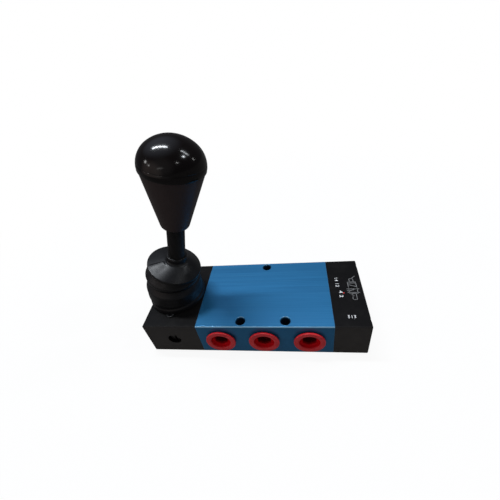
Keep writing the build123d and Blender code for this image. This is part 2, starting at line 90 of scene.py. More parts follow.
# ---------------------------------------------------------------- mesh helpers


def add_piece(name, mesh_data, material, body, smooth=True):
    """Links a mesh as a piece that rides on a body and takes its finish from a material slot."""
    for polygon in mesh_data.polygons:
        polygon.use_smooth = smooth
    piece = bpy.data.objects.new(name, mesh_data)
    bpy.context.scene.collection.objects.link(piece)
    piece.data.materials.append(material)
    if body:
        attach(piece, body)
    return piece


def skin_rings(name, rings):
    """A mesh through rings of points. Every ring has the same number of points, or is one point."""
    mesh = bmesh.new()
    rows = [[mesh.verts.new(point) for point in ring] for ring in rings]
    for lower, upper in zip(rows, rows[1:]):
        count = max(len(lower), len(upper))
        for i in range(count):
            j = (i + 1) % count
            below = [lower[i % len(lower)], lower[j % len(lower)]]
            above = [upper[j % len(upper)], upper[i % len(upper)]]
            mesh.faces.new(list(dict.fromkeys(below + above)))
    bmesh.ops.recalc_face_normals(mesh, faces=mesh.faces)
    data = bpy.data.meshes.new(name)
    mesh.to_mesh(data)
    mesh.free()
    return data


def rounded(points, steps=5):
    """A profile of (r, h, corner radius) points, in mm, with its corners rounded by short curves."""
    out = []
    for i, (r, h, corner) in enumerate(points):
        here = Vector((r, h))
        if corner <= 0 or i in (0, len(points) - 1):
            out.append((r, h))
            continue
        before = Vector(points[i - 1][:2]) - here
        after = Vector(points[i + 1][:2]) - here
        start = here + before.normalized() * min(corner, before.length * 0.49)
        end = here + after.normalized() * min(corner, after.length * 0.49)
        for k in range(steps + 1):
            t = k / steps
            spot = start * (1 - t) ** 2 + here * 2 * t * (1 - t) + end * t**2
            out.append((spot.x, spot.y))
    return out


def turned(name, profile, origin, axis, side, segments=128):
    """A turned mesh from (radius, height) pairs in mm along an axis."""
    other = axis.cross(side)
    rings = []
    for r, h in profile:
        centre = origin + axis * (h * MM)
        if r < 1e-6:
            rings.append([centre])
            continue
        rings.append(
            [
                centre + (side * cos(a) + other * sin(a)) * (r * MM)
                for a in (2 * pi * i / segments for i in range(segments))
            ]
        )
    return skin_rings(name, rings)


# ---------------------------------------------------------------- sizes of the port plugs, in mm

NECK_R = 6.7
NECK = 0.8  # between the body's face and the flange
FLANGE_R = 8.6
PROUD = 1.9  # outer face of the flange, from the body's face
RING_R = 5.9  # inner edge of the flange's flat ring
RECESS_R = 4.95
RECESS = 1.7
PLUG_SEGMENTS = 96
SOCKET = [(7.7, 1.75), (7.5, 2.1), (7.3, 6.2), (6.8, 6.5)]  # across flats, and depth from the outer face

# ---------------------------------------------------------------- material helpers


BEVEL_SAMPLES = 8


def math_node(nodes, links, operation, *values):
    """A Math node; each value is a number or another node's output."""
    node = nodes.new("ShaderNodeMath")
    node.operation = operation
    for socket, value in zip(node.inputs, values):
        if isinstance(value, (int, float)):
            socket.default_value = value
        else:
            links.new(value, socket)
    return node.outputs[0]


class Finish:
    """A Principled material whose textures sit in object space, so that they ride with the piece."""

    def __init__(self, name, roughness, metallic=0.0, specular=0.5):
        self.material = bpy.data.materials.new(name)
        self.material.use_nodes = True
        self.nodes = self.material.node_tree.nodes
        self.links = self.material.node_tree.links
        self.shader = self.nodes["Principled BSDF"]
        self.place = self.nodes.new("ShaderNodeTexCoord").outputs["Object"]
        self.shader.inputs["Roughness"].default_value = roughness
        self.shader.inputs["Metallic"].default_value = metallic
        self.shader.inputs["Specular IOR Level"].default_value = specular

    def noise(self, scale, detail=3.0, stretch=(1, 1, 1), roughness=0.55):
        """Noise at so many features per metre, stretched by dividing the scale along each axis."""
        mapping = self.nodes.new("ShaderNodeMapping")
        mapping.inputs["Scale"].default_value = [scale / s for s in stretch]
        texture = self.nodes.new("ShaderNodeTexNoise")
        texture.inputs["Scale"].default_value = 1.0
        texture.inputs["Detail"].default_value = detail
        texture.inputs["Roughness"].default_value = roughness
        self.links.new(self.place, mapping.inputs["Vector"])
        self.links.new(mapping.outputs["Vector"], texture.inputs["Vector"])
        return texture.outputs["Fac"]

    def spread(self, value, low, high, start=0.3, end=0.7):
        """Maps a texture's range onto low to high."""
        node = self.nodes.new("ShaderNodeMapRange")
        node.inputs["From Min"].default_value = start
        node.inputs["From Max"].default_value = end
        node.inputs["To Min"].default_value = low
        node.inputs["To Max"].default_value = high
        self.links.new(value, node.inputs["Value"])
        return node.outputs["Result"]

    def mix(self, factor, first, second):
        """A colour between two colours, each an RGB triple or another node's output."""
        node = self.nodes.new("ShaderNodeMix")
        node.data_type = "RGBA"
        self.links.new(factor, node.inputs["Factor"])
        for socket, colour in ((node.inputs[6], first), (node.inputs[7], second)):
            if isinstance(colour, tuple):
                socket.default_value = (*colour, 1)
            else:
                self.links.new(colour, socket)
        return node.outputs[2]

    def rounded_normal(self, width):
        """The surface's normal with sharp edges rounded over a width."""
        bevel = self.nodes.new("ShaderNodeBevel")
        bevel.samples = BEVEL_SAMPLES
        bevel.inputs["Radius"].default_value = width
        return bevel.outputs["Normal"]

    def soften_edges(self, width):
        """Rounds the edges in the shading. It comes before any bump."""
        self.links.new(self.rounded_normal(width), self.shader.inputs["Normal"])

    def edges(self, width):
        """1 on worn edges and 0 on the flats: how far a rounded normal turns from the true one."""
        dot = self.nodes.new("ShaderNodeVectorMath")
        dot.operation = "DOT_PRODUCT"
        self.links.new(self.rounded_normal(width), dot.inputs[0])
        self.links.new(self.normal(), dot.inputs[1])
        return self.spread(dot.outputs["Value"], 1.0, 0.0, 0.86, 0.995)

    def math(self, operation, *values):
        return math_node(self.nodes, self.links, operation, *values)

    def parts(self, vector):
        """The X, Y and Z of a vector, by name."""
        node = self.nodes.new("ShaderNodeSeparateXYZ")
        self.links.new(vector, node.inputs["Vector"])
        return node.outputs

    def normal(self):
        """The surface's true normal."""
        return self.nodes.new("ShaderNodeNewGeometry").outputs["Normal"]

    def chamfers(self):
        """1 on the chamfers along the body's long edges, whose normals lie between Y and Z, where a painted
        highlight goes.
        """
        parts = self.parts(self.normal())
        least = self.math("MINIMUM", self.math("ABSOLUTE", parts["Y"]), self.math("ABSOLUTE", parts["Z"]))
        return self.spread(least, 0, 1, 0.45, 0.65)

    def painted_light_fronts(self):
        """1 on the front and back faces, whose normals lie along Y, where paler paint stands in for light.
        """
        size = self.math("ABSOLUTE", self.parts(self.normal())["Y"])
        return self.spread(size, 0, 1, 0.85, 0.97)

    def bores(self):
        """1 inside the body's vertical holes, below its top and behind its front and back faces, where
        painted shade goes.
        """
        height = self.parts(self.place)["Z"]
        below = self.spread(height, 1, 0, BODY_TOP - 2.0 * MM, BODY_TOP - 0.5 * MM)
        behind = self.depth_behind(body_high.y - 0.3 * MM, 0.5 * MM)
        return self.math("MULTIPLY", below, behind)

    def depth_behind(self, face, reach):
        """0 at a distance from the middle plane, on either side, and 1 at so much nearer to it."""
        size = self.math("ABSOLUTE", self.parts(self.place)["Y"])
        return self.spread(size, 1, 0, face - reach, face)

    def colour(self, value):
        self.links.new(value, self.shader.inputs["Base Color"])

    def roughness(self, value):
        self.links.new(value, self.shader.inputs["Roughness"])

    def bump(self, height, depth, strength=1.0):
        """Bump of a depth in metres, added to any bump that is there already."""
        node = self.nodes.new("ShaderNodeBump")
        node.inputs["Distance"].default_value = depth
        node.inputs["Strength"].default_value = strength
        self.links.new(height, node.inputs["Height"])
        before = self.shader.inputs["Normal"].links
        if before:
            self.links.new(before[0].from_socket, node.inputs["Normal"])
        self.links.new(node.outputs["Normal"], self.shader.inputs["Normal"])


# ---------------------------------------------------------------- materials


def blue_anodised():
    """Blue anodised aluminium with fine machining streaks along the body, painted shade in the vertical
    holes and a painted highlight on the chamfers.
    """
    finish = Finish("blue_anodised", 0.34, metallic=0.55, specular=0.5)
    finish.soften_edges(0.3 * MM)
    streaks = finish.noise(2600, detail=2, stretch=(160, 1, 1))
    scratches = finish.noise(900, detail=4, stretch=(60, 1, 1))
    clouds = finish.noise(55, detail=3, stretch=(2.5, 1, 1))
    blue = finish.mix(finish.spread(streaks, 0, 1), (0.0235, 0.188, 0.415), (0.0310, 0.226, 0.475))
    blue = finish.mix(finish.spread(clouds, 0, 0.35), blue, (0.026, 0.172, 0.380))
    blue = finish.mix(finish.spread(scratches, 0, 0.25, 0.58, 0.74), blue, (0.060, 0.275, 0.500))
    blue = finish.mix(finish.edges(0.25 * MM), blue, (0.16, 0.34, 0.52))
    # painted shade: the walls of the vertical holes are darkened to a deep navy
    blue = finish.mix(finish.bores(), blue, (0.006, 0.030, 0.075))
    # painted highlight: the chamfers are a pale blue, a bright line along the long edges
    finish.colour(finish.mix(finish.chamfers(), blue, (0.25, 0.50, 0.70)))
    finish.roughness(finish.spread(streaks, 0.30, 0.42))
    finish.bump(streaks, 0.006 * MM, 0.5)
    return finish.material


def black_painted():
    """Satin black of the housing and the end cap, with a faint grain and dust, front and back faces painted
    paler as painted light, and a painted highlight on the chamfers.
    """
    finish = Finish("satin_black", 0.38, specular=0.10)
    finish.soften_edges(0.3 * MM)
    grain = finish.noise(2200, detail=4)
    dust = finish.noise(120, detail=5, roughness=0.7)
    dark = finish.mix(finish.spread(grain, 0, 1), (0.0042, 0.0040, 0.0042), (0.0075, 0.0070, 0.0072))
    dark = finish.mix(finish.spread(dust, 0, 0.25, 0.5, 0.8), dark, (0.024, 0.021, 0.020))
    # painted light: the front and back faces get a far paler tone than the top, varied by the dust noise
    dust_and_painted_light = finish.mix(finish.spread(dust, 0, 1), (0.044, 0.042, 0.040), (0.056, 0.053, 0.050))
    dark = finish.mix(finish.painted_light_fronts(), dark, dust_and_painted_light)
    dark = finish.mix(finish.edges(0.2 * MM), dark, (0.030, 0.029, 0.029))
    # painted highlight: the chamfers are paler than the top
    finish.colour(finish.mix(finish.chamfers(), dark, (0.018, 0.017, 0.017)))
    finish.roughness(finish.spread(dust, 0.34, 0.46))
    finish.bump(grain, 0.010 * MM, 0.5)
    return finish.material


def black_rod():
    """Blackened steel, drawn along its length, with light wear."""
    finish = Finish("black_oxide", 0.34, specular=0.07)
    rub = finish.noise(600, detail=4, stretch=(1, 1, 6))
    finish.colour(finish.mix(finish.spread(rub, 0, 1), (0.0120, 0.0115, 0.0115), (0.0195, 0.0185, 0.0185)))
    finish.roughness(finish.spread(rub, 0.28, 0.42))
    finish.bump(rub, 0.006 * MM, 0.4)
    return finish.material


def knob_gloss():
    """Polished dome of the knob, with hairline scuffs."""
    finish = Finish("knob_gloss", 0.15, specular=0.32)
    scuffs = finish.noise(900, detail=5, stretch=(5, 1, 1), roughness=0.7)
    haze = finish.noise(70, detail=3)
    finish.colour(finish.mix(finish.spread(haze, 0, 1), (0.0032, 0.0020, 0.0020), (0.0044, 0.0028, 0.0027)))
    finish.roughness(finish.spread(scuffs, 0.14, 0.16, 0.4, 0.8))
    finish.bump(scuffs, 0.0008 * MM, 0.1)
    return finish.material


def knob_satin():
    """Taper of the knob: the same plastic as the dome, left satin from the mould, but coloured paler and
    browner than the dome as a painted reflection of a brownish room.
    """
    finish = Finish("knob_satin", 0.38, specular=0.16)
    grain = finish.noise(1500, detail=4)
    haze = finish.noise(60, detail=3, stretch=(1, 1, 2))
    # painted reflection: a paler, browner colour than the dome's, for the room mirrored in the satin
    finish.colour(finish.mix(finish.spread(haze, 0, 1), (0.0340, 0.0235, 0.0230), (0.0430, 0.0310, 0.0300)))
    finish.roughness(finish.spread(haze, 0.33, 0.43))
    finish.bump(grain, 0.004 * MM, 0.4)
    return finish.material


def rubber(name, dark, pale, roughness, grain_depth, specular):
    """Moulded rubber with a fine grain and some dust."""
    finish = Finish(name, roughness, specular=specular)
    grain = finish.noise(1800, detail=4)
    dust = finish.noise(150, detail=5, roughness=0.7)
    base = finish.mix(finish.spread(grain, 0, 1), dark, pale)
    dust_and_painted_light = tuple(min(1.0, 2.4 * c) for c in pale)
    finish.colour(finish.mix(finish.spread(dust, 0, 0.3, 0.5, 0.8), base, dust_and_painted_light))
    finish.roughness(finish.spread(dust, roughness - 0.05, roughness + 0.10))
    finish.bump(grain, grain_depth, 0.5)
    return finish.material


def red_plastic():
    """Soft moulded polythene, a little translucent, with painted shade: a darker, purer red in the recess
    and near black down in the socket.
    """
    finish = Finish("red_polythene", 0.34, specular=0.5)
    finish.shader.inputs["Subsurface Weight"].default_value = 0.25
    finish.shader.inputs["Subsurface Radius"].default_value = (1.0, 0.15, 0.12)
    finish.shader.inputs["Subsurface Scale"].default_value = 1.2 * MM
    flow = finish.noise(260, detail=3, stretch=(1, 1.6, 1))
    grain = finish.noise(2400, detail=3)
    red = finish.mix(finish.spread(flow, 0, 1), (0.70, 0.032, 0.042), (0.84, 0.052, 0.062))
    # painted shade: a darker, purer red for the recess
    inner = finish.mix(finish.spread(flow, 0, 1), (0.50, 0.002, 0.006), (0.66, 0.004, 0.010))
    deep = finish.depth_behind(body_high.y + (PROUD - 0.1) * MM, 0.8 * MM)
    # painted shade: near black down in the hexagon socket
    socket_shade = finish.depth_behind(body_high.y + (PROUD - RECESS) * MM, 1.8 * MM)
    red = finish.mix(deep, red, inner)
    finish.colour(finish.mix(socket_shade, red, (0.085, 0.002, 0.002)))
    finish.roughness(finish.mix(deep, finish.spread(flow, 0.28, 0.42), (0.75, 0.75, 0.75)))
    finish.links.new(finish.spread(deep, 0.38, 0.05, 0, 1), finish.shader.inputs["Specular IOR Level"])
    finish.bump(grain, 0.006 * MM, 0.4)
    return finish.material


def bare_metal(name, dark, pale, roughness, stretch=(1, 1, 1)):
    """Turned or machined metal."""
    finish = Finish(name, roughness, metallic=1.0)
    lines = finish.noise(2400, detail=3, stretch=stretch)
    finish.colour(finish.mix(finish.spread(lines, 0, 1), dark, pale))
    finish.roughness(finish.spread(lines, roughness - 0.06, roughness + 0.10))
    finish.bump(lines, 0.004 * MM, 0.5)
    return finish.material


def acetal():
    """Pale moulded plastic of the spool cages."""
    finish = Finish("acetal", 0.42, specular=0.45)
    clouds = finish.noise(300, detail=3)
    finish.colour(finish.mix(finish.spread(clouds, 0, 1), (0.66, 0.65, 0.60), (0.74, 0.73, 0.69)))
    finish.roughness(finish.spread(clouds, 0.36, 0.5))
    return finish.material


def ink(name, thin, full):
    """Screen-printed ink, thinner in places."""
    finish = Finish(name, 0.55, specular=0.3)
    wear = finish.noise(1600, detail=4)
    finish.colour(finish.mix(finish.spread(wear, 0, 1, 0.3, 0.55), thin, full))
    return finish.material


BLUE = blue_anodised()
BLACK = black_painted()
ROD = black_rod()
GLOSS = knob_gloss()
SATIN = knob_satin()
BOOT = rubber("boot_rubber", (0.0050, 0.0050, 0.0060), (0.0088, 0.0088, 0.0100), 0.35, 0.012 * MM, 0.30)
SEAL = rubber("seal_rubber", (0.012, 0.012, 0.012), (0.020, 0.020, 0.020), 0.50, 0.008 * MM, 0.5)
RED = red_plastic()
STEEL = bare_metal("plated_steel", (0.36, 0.36, 0.37), (0.50, 0.50, 0.51), 0.28)
SPOOL = bare_metal("hard_anodised", (0.30, 0.30, 0.31), (0.42, 0.42, 0.43), 0.30, stretch=(1, 6, 6))
BRASS = bare_metal("turned_brass", (0.50, 0.34, 0.12), (0.66, 0.48, 0.20), 0.26)
BLACK_STEEL = bare_metal("blackened_screw", (0.10, 0.098, 0.097), (0.20, 0.195, 0.19), 0.36)
ACETAL = acetal()
WHITE_INK = ink("white_ink", (0.45, 0.45, 0.45), (0.85, 0.85, 0.85))
GREY_INK = ink("grey_ink", (0.07, 0.07, 0.07), (0.24, 0.24, 0.24))
RED_INK = ink("red_ink", (0.30, 0.02, 0.02), (0.62, 0.04, 0.04))

NODE_FINISHES = {
    BLUE: ["valve_body"],
    BLACK: ["lever_housing", "end_cap"],
    ROD: ["lever"],
    SATIN: ["knob"],
    BRASS: ["knob_insert"],
    BOOT: ["boot"],
    STEEL: ["pivot_pin", "detent_ball", "detent_spring", "spool_stem"],
    SPOOL: ["spool", "left_end_bush", "right_end_bush"],
    BLACK_STEEL: ["detent_screw", "housing_screws", "cap_screws"],
    ACETAL: ["spool_cage_1", "spool_cage_2", "spool_cage_3", "spool_cage_4", "spool_cage_5"],
    SEAL: [f"spool_seal_{number}" for number in range(1, 7)],
    RED: [name for name in frame["nodes"] if "plug" in name],
}

for finish_material, names in NODE_FINISHES.items():
    for name in names:
        node = frame["nodes"][name]
        node.data.materials.clear()
        node.data.materials.append(finish_material)


# ---------------------------------------------------------------- knob

SEAM = 80.6  # mm from the pivot along the lever, as are the other heights of the knob
KNOB_BASE = 49.6
EQUATOR = 82.2
KNOB_TOP = 95.4
KNOB_R = 15.4
DOME_SIDE_R = 11.9  # the dome's side arc; a wider arc runs over the top
LIP = [(14.4, SEAM + 0.15), (15.2, SEAM + 0.05), (15.27, SEAM + 0.15), (15.30, SEAM + 0.7)]
PARTING = [(0.0, 83.60), (0.18, 84.02), (0.20, 84.10), (0.0, 84.20)]  # depth and height of the groove
SIDE_STEPS = 14
SIDE_FIRST_STEP = 3  # the steps below it are taken by the groove
TOP_STEPS = 24


def dome_profile():
    """The glossy cap: a small lip at the seam, the side arc and the wide arc over the top."""
    side_offset = KNOB_R - DOME_SIDE_R
    height = KNOB_TOP - EQUATOR
    top_r = (height**2 + side_offset**2 - DOME_SIDE_R**2) / (2 * (height - DOME_SIDE_R))
    spread = Vector((side_offset, top_r - height)).normalized()
    join = Vector((side_offset, EQUATOR)) + spread * DOME_SIDE_R
    join_angle = Vector((1, 0)).angle(spread)
    points = [*LIP, (KNOB_R, EQUATOR)]
    points += [(side_offset + sqrt(DOME_SIDE_R**2 - (h - EQUATOR) ** 2) - depth, h) for depth, h in PARTING]
    for k in range(SIDE_FIRST_STEP, SIDE_STEPS + 1):
        angle = join_angle * k / SIDE_STEPS
        points.append((side_offset + DOME_SIDE_R * cos(angle), EQUATOR + DOME_SIDE_R * sin(angle)))
    for k in range(1, TOP_STEPS + 1):
        r = join.x * (1 - k / TOP_STEPS)
        points.append((r, KNOB_TOP - top_r + sqrt(top_r**2 - r**2)))
    return points


def taper_profile():
    """The satin taper below the seam, with its rounded foot and the bore for the insert."""
    return rounded(
        [
            (4.2, KNOB_BASE + 2.0, 0),
            (4.2, KNOB_BASE + 0.05, 0.3),
            (6.0, KNOB_BASE, 0.4),
            (7.35, KNOB_BASE + 0.7, 0.9),
            (14.9, SEAM, 0.2),
            (14.4, SEAM + 0.25, 0),
        ]
    )


dome_mesh = turned("knob_dome", dome_profile(), PIVOT, LEVER_UP, LEVER_SIDE)
dome = add_piece("knob_dome", dome_mesh, GLOSS, "lever")
taper_mesh = turned("knob_taper", taper_profile(), PIVOT, LEVER_UP, LEVER_SIDE)
add_piece("knob_taper", taper_mesh, SATIN, "lever")
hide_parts("knob")

# ---------------------------------------------------------------- boot

BOOT_SEGMENTS = 192
FOOT_X = -55.2
# Crests and valleys from the foot up: x and z of the middle in mm, tilt in degrees, outer radius,
# and how widely the rubber turns there.
FOLDS = [
    (FOOT_X, 24.0, 0.0, 16.7, 0.0),
    (FOOT_X, 24.3, 0.0, 17.0, 0.2),
    (FOOT_X, 26.9, 0.0, 17.0, 0.5),
    (FOOT_X, 28.1, 1.0, 16.4, 0.3),
    (-55.1, 31.0, 3.0, 16.6, 1.5),
    (-54.9, 35.0, 6.5, 16.35, 1.0),
    (-54.7, 36.8, 8.0, 16.2, 0.9),
    (-54.0, 39.9, 12.0, 14.3, 0.2),
    (-53.4, 41.9, 14.5, 15.3, 0.4),
    (-53.0, 43.6, 16.5, 15.55, 0.6),
    (-51.7, 46.2, 21.0, 13.5, 0.2),
    (-50.7, 47.6, 24.0, 14.9, 0.25),
    (-50.45, 48.1, 24.7, 15.2, 0.2),
    (-49.95, 49.2, 24.7, 15.2, 0.25),
]
COLLAR = [  # distance from the pivot along the lever, radius and how widely the rubber turns there
    (25.8, 6.6, 0.5),
    (26.7, 5.7, 0.3),
    (28.7, 5.8, 0.3),
    (29.5, 5.5, 0.25),
    (29.5, 4.7, 0.0),
]
CONE_RINGS = 24
TURN_STEPS = 5
PLEATS = range(4, 11)
UNEVEN = 0.10  # mm, slight unevenness of the moulding
# The pull of the lever leaves puckers in the cone, from the collar towards the rim. Each one is its
# crest's angle, its height in mm, and how far it reaches before and after the crest.
PUCKERS = [
    (radians(-149), 0.55, radians(5), radians(34)),
    (radians(-34), 0.40, radians(30), radians(34)),
]


def pucker(angle, radius):
    """How far the cone stands up at the puckers, in mm."""
    across = min(1.0, max(0.0, (radius - 6.0) / 2.0)) * min(1.0, max(0.0, (15.0 - radius) / 3.5))
    height = 0.0
    for crest, top, before, after in PUCKERS:
        past = (angle - crest + pi) % (2 * pi) - pi
        share = past / after if past > 0 else -past / before
        if share < 1:
            height += top * across * 0.5 * (1 + cos(pi * share))
    return height


def fold_ring(x, z, tilt, radius, uneven=0.0, cone=False):
    """One tilted ring of the boot."""
    angle = radians(tilt)
    side = Vector((cos(angle), 0, -sin(angle)))
    up = Vector((sin(angle), 0, cos(angle)))
    centre = Vector((x, 0, z)) * MM
    ring = []
    for i in range(BOOT_SEGMENTS):
        a = 2 * pi * i / BOOT_SEGMENTS
        r = radius + uneven * (sin(2 * a + z) + 0.6 * sin(3 * a + 1.7 * z))
        lift = pucker(a, radius) if cone else 0.0
        ring.append(centre + ((side * cos(a) + ACROSS * sin(a)) * r + up * lift) * MM)
    return ring


def along_lever(distance):
    """x and z in mm of a point on the lever."""
    point = PIVOT / MM + LEVER_UP * distance
    return point.x, point.z


def station_points(stations, i):
    """The points around one station: a short curve, or the station itself where it is sharp."""
    here = Vector(stations[i][:4])
    turn = stations[i][4]
    if turn <= 0:
        return [here]
    before = Vector(stations[i - 1][:4]) - here
    after = Vector(stations[i + 1][:4]) - here
    start = here + before * min(0.48, turn / hypot(before[0], before[1], before[3]))
    end = here + after * min(0.48, turn / hypot(after[0], after[1], after[3]))
    steps = [k / TURN_STEPS for k in range(TURN_STEPS + 1)]
    return [start * (1 - t) ** 2 + here * 2 * t * (1 - t) + end * t**2 for t in steps]


def boot_rings():
    """Rings up the outside of the boot: foot, pleats, flat cone and collar."""
    collar = [(*along_lever(at), degrees(TILT), radius, turn) for at, radius, turn in COLLAR]
    stations = [*FOLDS, *collar]
    rings = []
    last = None
    for i in range(len(stations)):
        points = station_points(stations, i)
        if i == len(FOLDS):
            steps = [last.lerp(points[0], k / CONE_RINGS) for k in range(1, CONE_RINGS)]
            rings += [fold_ring(*step, cone=True) for step in steps]
        rings += [fold_ring(*point, uneven=UNEVEN if i in PLEATS else 0.0) for point in points]
        last = points[-1]
    return rings


boot = add_piece("rubber_boot", skin_rings("rubber_boot", boot_rings()), BOOT, None)
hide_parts("boot")
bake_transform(boot)

TAB_WIDTH = 4.6  # mm, the small tab at the front of the foot
TAB_FRONT = -19.4
TAB_BACK = -16.0
TAB_HEIGHT = 0.9
TAB_DIMPLE = 0.45
TAB_SEGMENTS = 48


def tab_rings():
    """A low half-round tab on the housing with a dimple in its top, from its lower edge inwards."""
    half = TAB_WIDTH / 2
    middle = TAB_FRONT + half
    top = BODY_TOP / MM

    def outline(scale, height):
        ring = []
        for i in range(TAB_SEGMENTS):
            a = 2 * pi * i / TAB_SEGMENTS
            reach = half if sin(a) < 0 else TAB_BACK - middle
            x = FOOT_X + cos(a) * half * scale
            ring.append(Vector((x, middle + sin(a) * reach * scale, top + height)) * MM)
        return ring

    rings = [outline(1.0, 0.0), outline(1.0, TAB_HEIGHT - 0.25), outline(0.92, TAB_HEIGHT - 0.05)]
    rings += [outline(0.82, TAB_HEIGHT), outline(0.52, TAB_HEIGHT), outline(0.42, TAB_HEIGHT - TAB_DIMPLE)]
    rings.append([Vector((FOOT_X, middle, top + TAB_HEIGHT - TAB_DIMPLE)) * MM])
    return rings


add_piece("boot_tab", skin_rings("boot_tab", tab_rings()), BOOT, "valve")

# ---------------------------------------------------------------- port plugs


def hexagon(angle, flats, blunt=0.3):
    """Radius of a hexagon with slightly blunt corners."""
    sector = (angle + pi / 6) % (pi / 3) - pi / 6
    return min(flats / 2 / cos(sector), flats / 2 / cos(pi / 6) - blunt)


def plug_rings(centre, outward):
    """From the neck, over the flange, down the recess and into the hexagon socket."""
    side = Vector((1, 0, 0))
    up = Vector((0, 0, 1))
    turns = [2 * pi * i / PLUG_SEGMENTS for i in range(PLUG_SEGMENTS)]

    def ring(radius_at, height):
        spots = [(side * cos(a) + up * sin(a)) * radius_at(a) + outward * height for a in turns]
        return [centre + spot * MM for spot in spots]

    profile = rounded(
        [
            (NECK_R, -0.2, 0),
            (NECK_R, NECK, 0.15),
            (FLANGE_R - 0.1, NECK, 0.15),
            (FLANGE_R, NECK + 0.4, 0.2),
            (FLANGE_R - 0.1, PROUD, 0.45),
            (RING_R, PROUD - 0.05, 0.3),
            (RECESS_R + 0.25, PROUD - RECESS + 0.2, 0.25),
            (RECESS_R - 0.2, PROUD - RECESS, 0),
        ]
    )
    rings = [ring(lambda a, r=r: r, h) for r, h in profile]
    rings += [ring(lambda a, flats=flats: hexagon(a, flats), PROUD - depth) for flats, depth in SOCKET]
    rings.append([centre + outward * (PROUD - SOCKET[-1][1]) * MM])
    return rings


for name in NODE_FINISHES[RED]:
    low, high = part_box(name)
    outward = Vector((0, -1 if low.y < 0 else 1, 0))
    face = body_low.y if low.y < 0 else body_high.y
    centre = Vector(((low.x + high.x) / 2, face, AXIS_Z))
    cap = add_piece(f"{name}_cap", skin_rings(name, plug_rings(centre, outward)), RED, "valve")
    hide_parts(name)

# ---------------------------------------------------------------- print on the end cap

PRINT_LIFT = 0.02 * MM
STROKE = 0.38


def ribbon(mesh, points, width, closed=False):
    """A flat printed line through points on the cap's top."""
    following = points[1:] + (points[:1] if closed else [])
    for start, end in zip(points, following):
        along = (end - start).normalized()
        across = Vector((-along.y, along.x)) * width / 2
        tip = along * width / 2
        corners = [start - tip - across, end + tip - across, end + tip + across, start - tip + across]
        mesh.faces.new([mesh.verts.new((*(c * MM), BODY_TOP + PRINT_LIFT)) for c in corners])


def symbol_lines():
    """A 5/2 valve symbol in its own plane, 20 mm long: lever, two squares of flow paths, detent."""
    box = 4.6
    lines = [
        ([(-box, 0), (0, 0), (0, box), (-box, box)], True),
        ([(0, 0), (box, 0), (box, box), (0, box)], True),
    ]
    for left in (-box, 0):
        lines.append(([(left + 0.9, 0.5), (left + 0.9, box - 0.5)], False))
    lines.append(([(-box + 2.3, 0.5), (-0.9, box - 0.5)], False))
    lines.append(([(2.3, 0.5), (0.9, box - 0.6)], False))
    lines.append(([(box - 0.9, 0.5), (box - 0.9, box - 0.5)], False))
    # ports below and above the right square
    for u in (0.9, 2.3, box - 0.9):
        lines.append(([(u, 0), (u, -1.0)], False))
    for u in (0.9, box - 0.9):
        lines.append(([(u, box), (u, box + 1.0)], False))
    # hand lever at one end, detent at the other
    lines.append(([(-box, 1.2), (-box - 2.6, 1.2), (-box - 2.6, 3.4), (-box, 3.4)], False))
    lines.append(([(-box - 2.6, 2.3), (-box - 4.8, 4.8)], False))
    notch = [(box + 1.0, 1.2), (box + 1.5, 2.2), (box + 2.0, 1.2)]
    lines.append(([(box, 1.2), *notch, (box + 4.4, 1.2)], False))
    lines.append(([(box, 3.4), (box + 4.4, 3.4), (box + 4.4, 1.2)], False))
    return lines


def add_symbol(origin_x, origin_y):
    """The symbol, turned so that its length runs along -Y and its top faces +X."""
    mesh = bmesh.new()
    for points, closed in symbol_lines():
        ribbon(mesh, [Vector((origin_x + v, origin_y - u)) for u, v in points], STROKE, closed)
    data = bpy.data.meshes.new("valve_symbol")
    mesh.to_mesh(data)
    mesh.free()
    return add_piece("valve_symbol", data, GREY_INK, "valve", smooth=False)


def add_numbers(name, words, size, x, y, turn, stretch=1.0, thicken=0.0, spacing=1.0):
    """Printed figures, as a flat mesh centred on a place in mm and turned by so many degrees."""
    curve = bpy.data.curves.new(name, "FONT")
    curve.body = words
    curve.size = size * MM
    curve.align_x = "CENTER"
    curve.align_y = "CENTER"
    curve.offset = thicken * MM
    curve.space_character = spacing
    curve.resolution_u = 3
    text = bpy.data.objects.new(f"{name}_text", curve)
    bpy.context.scene.collection.objects.link(text)
    bpy.context.view_layer.update()
    data = bpy.data.meshes.new_from_object(text)
    bpy.data.objects.remove(text)
    place = Matrix.Translation((x * MM, y * MM, BODY_TOP + PRINT_LIFT))
    rotation = Matrix.Rotation(radians(turn), 4, "Z")
    data.transform(place @ rotation @ Matrix.Diagonal((stretch, 1, 1, 1)))
    data.materials.clear()
    return add_piece(name, data, WHITE_INK, "valve", smooth=False)


ALONG_CAP = -90  # degrees, figures that read along the cap's depth
add_symbol(origin_x=48.9, origin_y=1.8)
add_numbers("pilot_numbers", "14 12", 2.7, 42.8, 6.6, ALONG_CAP, stretch=1.05, thicken=0.05, spacing=1.25)
add_numbers("port_numbers_pair", "4 2", 2.9, 44.0, -2.9, ALONG_CAP, stretch=1.2, thicken=0.07, spacing=1.15)
add_numbers("port_numbers_three", "5 1 3", 2.7, 47.4, -18.9, 0, stretch=0.9, thicken=0.06, spacing=0.85)


def add_dot(x, y, radius, points=20):
    """A printed red dot."""
    mesh = bmesh.new()
    turns = [2 * pi * i / points for i in range(points)]
    spots = [((x + radius * cos(a)) * MM, (y + radius * sin(a)) * MM, BODY_TOP + PRINT_LIFT) for a in turns]
    mesh.faces.new([mesh.verts.new(spot) for spot in spots])
    data = bpy.data.meshes.new("red_dot")
    mesh.to_mesh(data)
    mesh.free()
    add_piece("red_dot", data, RED_INK, "valve", smooth=False)


add_dot(x=45.7, y=-2.1, radius=0.45)

# ---------------------------------------------------------------- floor, world, lamps and camera


FLOOR_SIZE = 4.0
FLOOR_GREY = 0.24  # for the light that bounces off the floor
FLOOR_MIRRORED = 0.12  # brightness of the floor in reflections
SHADOW_SHARE = 0.08  # share of the floor's colour that takes light and shadow, close to the object
SHADOW_REACH = (0.16, 0.34)  # the share fades out between these distances
FLOOR_GAP = 0.05 * MM  # below the valve's underside


